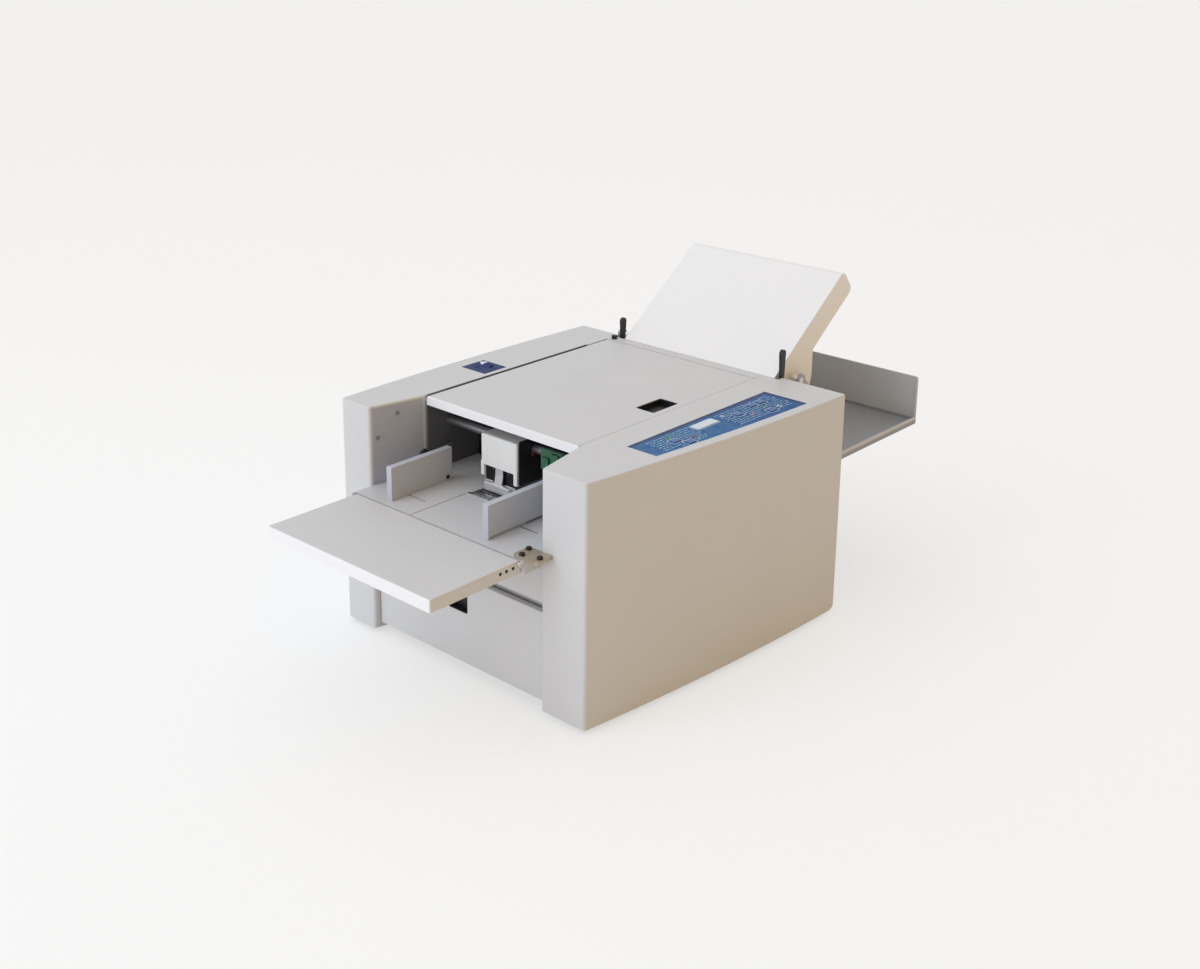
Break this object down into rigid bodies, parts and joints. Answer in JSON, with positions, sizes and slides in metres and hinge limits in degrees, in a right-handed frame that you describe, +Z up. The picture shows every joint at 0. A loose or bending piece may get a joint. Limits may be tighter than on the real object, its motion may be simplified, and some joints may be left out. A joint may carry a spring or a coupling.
{
  "type": "paper folding machine",
  "caption": "Desk-top paper folding machine with a hinged feed tray, paper guides, a long top lid, a leaning fold plate, a keypad and a rear stacking tray.",
  "frame": {"origin": "middle of the bounding box's underside, on the table top that carries the feet", "axes": "+Z up, +Y from the feed tray towards the rear stacking tray, +X towards the side cover with the keypad"},
  "size_m": [0.5769, 1.0664, 0.5272],
  "materials": {
    "painted_grey": "fine satin grain",
    "feed_paint": "smooth grey coat",
    "fold_plate_white": "smooth white coat",
    "head_white": "moulded",
    "black_plastic": "moulded",
    "gate_steel": "brushed",
    "panel_blue": "printed film",
    "button_blue": "moulded",
    "display": "clear window",
    "switch_navy": "moulded",
    "chassis_zinc": "zinc plated",
    "stop_aluminium": "machined",
    "tray_grey": "smooth grey coat",
    "roller_rubber": "ground rubber",
    "black_rubber": "moulded",
    "gear_nylon": "moulded",
    "bush_brass": "sintered",
    "motor_dark": "painted casting",
    "pump_cast": "cast",
    "board_green": "lacquered board"
  },
  "bodies": {
    "machine": {"base_plate": "chassis_zinc", "rubber_feet": "black_rubber", "left_frame_plate": "chassis_zinc", "right_frame_plate": "chassis_zinc", "cross_bars_and_pins": "chassis_zinc", "left_side_cover": "painted_grey", "right_side_cover": "painted_grey", "rear_top_strip": "painted_grey", "rear_panel": "chassis_zinc", "power_inlet": "black_plastic", "front_apron": "painted_grey", "feed_table": "feed_paint", "throat_panel": "black_plastic", "transport_guide": "chassis_zinc", "separator_housing": "head_white", "separator_side_plate": "black_plastic", "separator_gate": "gate_steel", "circuit_boards": "board_green", "drive_motor": "motor_dark", "drive_belt": "black_rubber", "vacuum_pump": "pump_cast", "vacuum_hose": "black_rubber", "drum_motor_and_brackets": "motor_dark", "control_panel": "panel_blue", "display_window": "display", "power_switch_body": "switch_navy", "lower_fold_plate": "chassis_zinc", "rear_tray": "tray_grey", "tray_hooks": "chassis_zinc", "tray_bracket": "feed_paint", "screws_and_latch": "chassis_zinc", "roller_bushes": "bush_brass", "lid_hinge": "chassis_zinc"},
    "lid": {"top_lid": "painted_grey", "finger_cup": "black_plastic"},
    "feed_tray": {"feed_tray": "painted_grey"},
    "left_guide": {"left_side_guide": "feed_paint"},
    "right_guide": {"right_side_guide": "feed_paint"},
    "guide_pinion": {"guide_pinion": "gear_nylon"},
    "door": {"lower_door": "painted_grey", "door_cup": "black_plastic"},
    "motor_pulley": {"motor_pulley": "stop_aluminium"},
    "drum": {"suction_drum": "stop_aluminium"},
    "upper_plate": {"upper_fold_plate": "fold_plate_white"},
    "upper_stop": {"upper_paper_stop": "stop_aluminium"},
    "lower_stop": {"lower_paper_stop": "stop_aluminium"},
    "left_lever": {"left_lock_lever": "black_plastic"},
    "right_lever": {"right_lock_lever": "black_plastic"},
    "trim_knob": {"trim_knob": "black_plastic"},
    "power_rocker": {"power_rocker": "switch_navy"},
    "roller_1": {"fold_roller_1": "roller_rubber"},
    "roller_2": {"fold_roller_2": "roller_rubber"},
    "roller_3": {"fold_roller_3": "roller_rubber"},
    "roller_4": {"fold_roller_4": "roller_rubber"},
    "start_button": {"start_button": "button_blue"},
    "stop_button": {"stop_button": "button_blue"},
    "test_button": {"test_button": "button_blue"},
    "plus_button": {"plus_button": "button_blue"},
    "minus_button": {"minus_button": "button_blue"},
    "clear_button": {"clear_button": "button_blue"}
  },
  "joints": [
    {"name": "lid_hinge", "type": "hinge", "parent": "machine", "child": "lid", "pos_m": [-0.1865, -0.02975, 0.378], "axis": [0, -1, 0], "range_deg": [0, 80]},
    {"name": "feed_tray_hinge", "type": "hinge", "parent": "machine", "child": "feed_tray", "pos_m": [-0.0295, -0.36795, 0.2505], "axis": [-1, 0, 0], "range_deg": [0, 90]},
    {"name": "right_guide_slide", "type": "slide", "parent": "machine", "child": "right_guide", "axis": [1, 0, 0], "range_m": [-0.04, 0.036]},
    {"name": "left_guide_slide", "type": "slide", "parent": "machine", "child": "left_guide", "axis": [-1, 0, 0], "range_m": [-0.04, 0.036]},
    {"name": "guide_pinion_turn", "type": "hinge", "parent": "machine", "child": "guide_pinion", "pos_m": [-0.043, -0.29775, 0.2517], "axis": [0, 0, 1], "range_deg": [-166, 184]},
    {"name": "lower_door_hinge", "type": "hinge", "parent": "machine", "child": "door", "pos_m": [-0.0295, -0.31375, 0.024], "axis": [1, 0, 0], "range_deg": [0, 85]},
    {"name": "roller_1_turn", "type": "hinge", "parent": "machine", "child": "roller_1", "pos_m": [-0.0295, 0.17216, 0.34012], "axis": [1, 0, 0], "continuous": true},
    {"name": "roller_2_turn", "type": "hinge", "parent": "machine", "child": "roller_2", "pos_m": [-0.0295, 0.19034, 0.31588], "axis": [1, 0, 0], "continuous": true},
    {"name": "roller_3_turn", "type": "hinge", "parent": "machine", "child": "roller_3", "pos_m": [-0.0295, 0.21458, 0.2977], "axis": [1, 0, 0], "continuous": true},
    {"name": "roller_4_turn", "type": "hinge", "parent": "machine", "child": "roller_4", "pos_m": [-0.0295, 0.1964, 0.27346], "axis": [1, 0, 0], "continuous": true},
    {"name": "motor_pulley_turn", "type": "hinge", "parent": "machine", "child": "motor_pulley", "pos_m": [0.1705, 0.16025, 0.1], "axis": [1, 0, 0], "continuous": true},
    {"name": "drum_turn", "type": "hinge", "parent": "machine", "child": "drum", "pos_m": [-0.0295, -0.22975, 0.2279], "axis": [1, 0, 0], "continuous": true},
    {"name": "upper_plate_hinge", "type": "hinge", "parent": "machine", "child": "upper_plate", "pos_m": [-0.0295, 0.28025, 0.3705], "axis": [1, 0, 0], "range_deg": [0, 50]},
    {"name": "upper_stop_slide", "type": "slide", "parent": "upper_plate", "child": "upper_stop", "axis": [0, 0.8, 0.6], "range_m": [-0.1, 0.03]},
    {"name": "lower_stop_slide", "type": "slide", "parent": "machine", "child": "lower_stop", "axis": [0, -0.6, -0.8], "range_m": [-0.1, 0.04]},
    {"name": "left_lever_turn", "type": "hinge", "parent": "machine", "child": "left_lever", "pos_m": [-0.1815, 0.23625, 0.357], "axis": [1, 0, 0], "range_deg": [-45, 0]},
    {"name": "right_lever_turn", "type": "hinge", "parent": "machine", "child": "right_lever", "pos_m": [0.1605, 0.23625, 0.357], "axis": [1, 0, 0], "range_deg": [-45, 0]},
    {"name": "trim_knob_turn", "type": "hinge", "parent": "machine", "child": "trim_knob", "pos_m": [-0.1825, 0.21125, 0.384], "axis": [0, 0, 1], "range_deg": [-150, 150]},
    {"name": "power_rocker_tilt", "type": "hinge", "parent": "machine", "child": "power_rocker", "pos_m": [-0.2325, -0.06475, 0.381], "axis": [1, 0, 0], "range_deg": [-16, 0]},
    {"name": "start_button_press", "type": "slide", "parent": "machine", "child": "start_button", "axis": [0, 0, -1], "range_m": [0, 0.0008], "stiffness_N_per_m": 400},
    {"name": "stop_button_press", "type": "slide", "parent": "machine", "child": "stop_button", "axis": [0, 0, -1], "range_m": [0, 0.0008], "stiffness_N_per_m": 400},
    {"name": "test_button_press", "type": "slide", "parent": "machine", "child": "test_button", "axis": [0, 0, -1], "range_m": [0, 0.0008], "stiffness_N_per_m": 400},
    {"name": "plus_button_press", "type": "slide", "parent": "machine", "child": "plus_button", "axis": [0, 0, -1], "range_m": [0, 0.0008], "stiffness_N_per_m": 400},
    {"name": "minus_button_press", "type": "slide", "parent": "machine", "child": "minus_button", "axis": [0, 0, -1], "range_m": [0, 0.0008], "stiffness_N_per_m": 400},
    {"name": "clear_button_press", "type": "slide", "parent": "machine", "child": "clear_button", "axis": [0, 0, -1], "range_m": [0, 0.0008], "stiffness_N_per_m": 400}
  ],
  "couplings": [
    {"joint": "left_guide_slide", "follows": "right_guide_slide", "ratio": 1},
    {"joint": "guide_pinion_turn", "follows": "right_guide_slide", "rad_per_m": -80},
    {"joint": "roller_2_turn", "follows": "roller_1_turn", "ratio": -1},
    {"joint": "roller_3_turn", "follows": "roller_1_turn", "ratio": 1},
    {"joint": "roller_4_turn", "follows": "roller_1_turn", "ratio": -1},
    {"joint": "motor_pulley_turn", "follows": "roller_1_turn", "ratio": -2}
  ]
}
